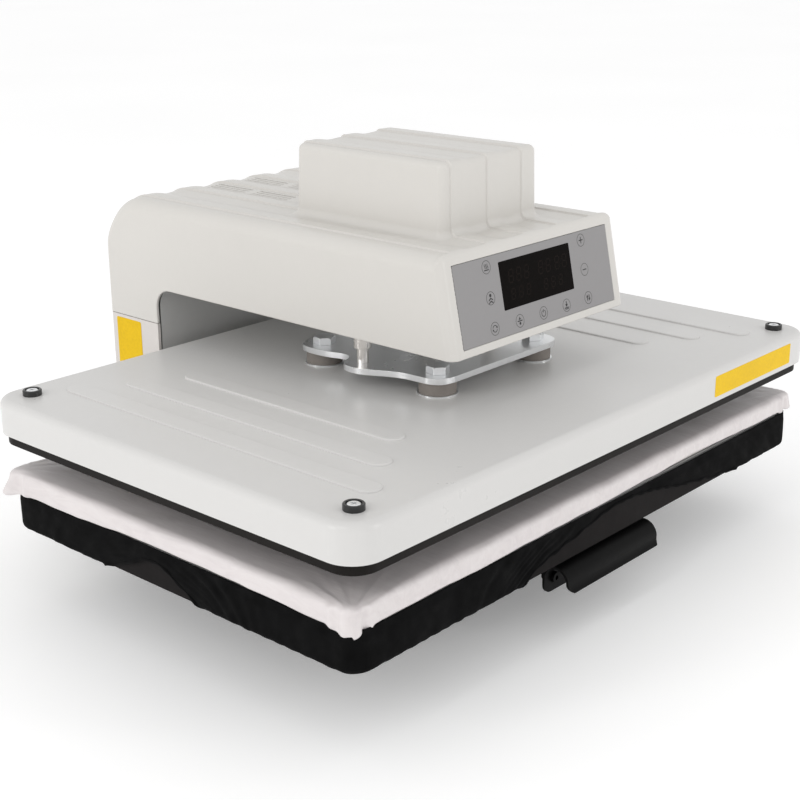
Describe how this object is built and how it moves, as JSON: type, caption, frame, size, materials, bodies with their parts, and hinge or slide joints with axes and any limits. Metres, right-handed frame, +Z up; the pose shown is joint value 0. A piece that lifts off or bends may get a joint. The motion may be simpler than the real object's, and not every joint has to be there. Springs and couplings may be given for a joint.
{
  "type": "automatic heat press",
  "caption": "Automatic electric heat press: C-shaped arm with a touch panel and motor-driven heated upper platen above a padded lower platen that pulls out like a drawer.",
  "frame": {"origin": "centre of the overall box on the table, under the rubber feet", "axes": "+X to the right along the platens' long side as seen from the front, +Y from the front edge to the column at the rear, +Z up"},
  "size_m": [0.62, 0.5058, 0.3655],
  "materials": {
    "cover_white": "warm off-white moulded, satin",
    "column_white": "warm off-white powder coat",
    "platen_grey": "light grey powder coat, soft sheen",
    "band_black": "black heat-resistant moulding",
    "platen_coat": "cast, with a dark non-stick coating below",
    "heater_steel": "oxidised sheath",
    "blanket_fibre": "needled glass fibre",
    "zinc_plate": "zinc-plated, lightly brushed",
    "polished_steel": "polished",
    "black_steel": "black powder coat",
    "tray_grey": "dark grey powder coat",
    "spacer_brown": "grey-brown pressed insulation board",
    "frame_grey": "mid-grey powder coat",
    "pan_grey": "light grey sheet",
    "bronze": "sintered bronze",
    "motor_can": "dark motor can",
    "gear_steel": "hobbed, oiled",
    "feet_rubber": "moulded",
    "panel_grey": "grey printed overlay",
    "display_dark": "smoked window",
    "board_green": "solder mask",
    "black_plastic": "moulded",
    "rocker_black": "moulded rocker",
    "fitting_grey": "moulded",
    "psu_metal": "perforated case",
    "label_yellow": "blank yellow sticker",
    "foam_white": "silicone foam",
    "cloth_white": "coated white cloth",
    "cloth_black": "black elastic cloth",
    "platen_steel": "grey coated steel"
  },
  "bodies": {
    "stand": {"arm_cover": "cover_white", "column_cover": "column_white", "arm_frame": "frame_grey", "arm_gland": "black_plastic", "base_frame": "black_steel", "column_frame": "frame_grey", "control_board": "board_green", "cover_screws": "zinc_plate", "display_window": "display_dark", "frame_bolts": "zinc_plate", "gear_motor": "motor_can", "gear_plate_lower": "frame_grey", "gear_plate_pillars": "zinc_plate", "gear_plate_upper": "frame_grey", "guide_bushes": "polished_steel", "limit_switches": "black_plastic", "nut_bearings": "bronze", "power_inlet": "black_plastic", "power_supply": "psu_metal", "rear_fitting": "fitting_grey", "rear_panel": "column_white", "rubber_feet": "feet_rubber", "side_label": "label_yellow", "slide_outer_rails": "zinc_plate", "solid_state_relay": "black_plastic", "switch_housing": "black_plastic", "terminal_block": "black_plastic", "touch_panel": "panel_grey", "underside_pan": "pan_grey"},
    "heated_platen": {"carrier_plate": "zinc_plate", "corner_screws": "zinc_plate", "cover_gland": "black_plastic", "cup_washers": "black_plastic", "edge_band": "band_black", "element_clamps": "zinc_plate", "front_label": "label_yellow", "guide_pins": "polished_steel", "heating_elements": "heater_steel", "heating_platen": "platen_coat", "hex_bolts": "zinc_plate", "insulating_spacers": "spacer_brown", "insulation_blanket": "blanket_fibre", "lift_screw": "gear_steel", "screw_nut": "zinc_plate", "spacer_washers": "zinc_plate", "temperature_probe": "heater_steel", "upper_cover": "platen_grey"},
    "drive_nut": {"nut_gear": "gear_steel"},
    "drive_pinion": {"motor_pinion": "gear_steel"},
    "slide_middles": {"slide_middle_rails": "zinc_plate"},
    "drawer": {"drawer_tray": "tray_grey", "foam_pad": "foam_white", "handle_bracket": "black_steel", "handle_screws": "black_steel", "lower_platen": "platen_steel", "pad_cover": "cloth_white", "pad_skirt": "cloth_black", "pull_handle": "black_steel", "slide_inner_rails": "zinc_plate"},
    "rocker": {"power_rocker": "rocker_black"}
  },
  "joints": [
    {"name": "platen_lift", "type": "slide", "parent": "stand", "child": "heated_platen", "axis": [0, 0, -1], "range_m": [0, 0.0226]},
    {"name": "nut_turn", "type": "hinge", "parent": "stand", "child": "drive_nut", "pos_m": [0, -0.04868, 0.277], "axis": [0, 0, 1], "range_deg": [0, 1020]},
    {"name": "pinion_turn", "type": "hinge", "parent": "stand", "child": "drive_pinion", "pos_m": [0, -0.00817, 0.277], "axis": [0, 0, 1], "range_deg": [-2040, 0]},
    {"name": "drawer_slide", "type": "slide", "parent": "stand", "child": "drawer", "axis": [0, -1, 0], "range_m": [0, 0.25]},
    {"name": "slide_extend", "type": "slide", "parent": "stand", "child": "slide_middles", "axis": [0, -1, 0], "range_m": [0, 0.125]},
    {"name": "rocker_tilt", "type": "hinge", "parent": "stand", "child": "rocker", "pos_m": [0.02, 0.24432, 0.105], "axis": [1, 0, 0], "range_deg": [0, 14]}
  ],
  "couplings": [
    {"joint": "nut_turn", "follows": "platen_lift", "rad_per_m": 785.4},
    {"joint": "pinion_turn", "follows": "platen_lift", "rad_per_m": -1570.8},
    {"joint": "slide_extend", "follows": "drawer_slide", "ratio": 0.5}
  ]
}
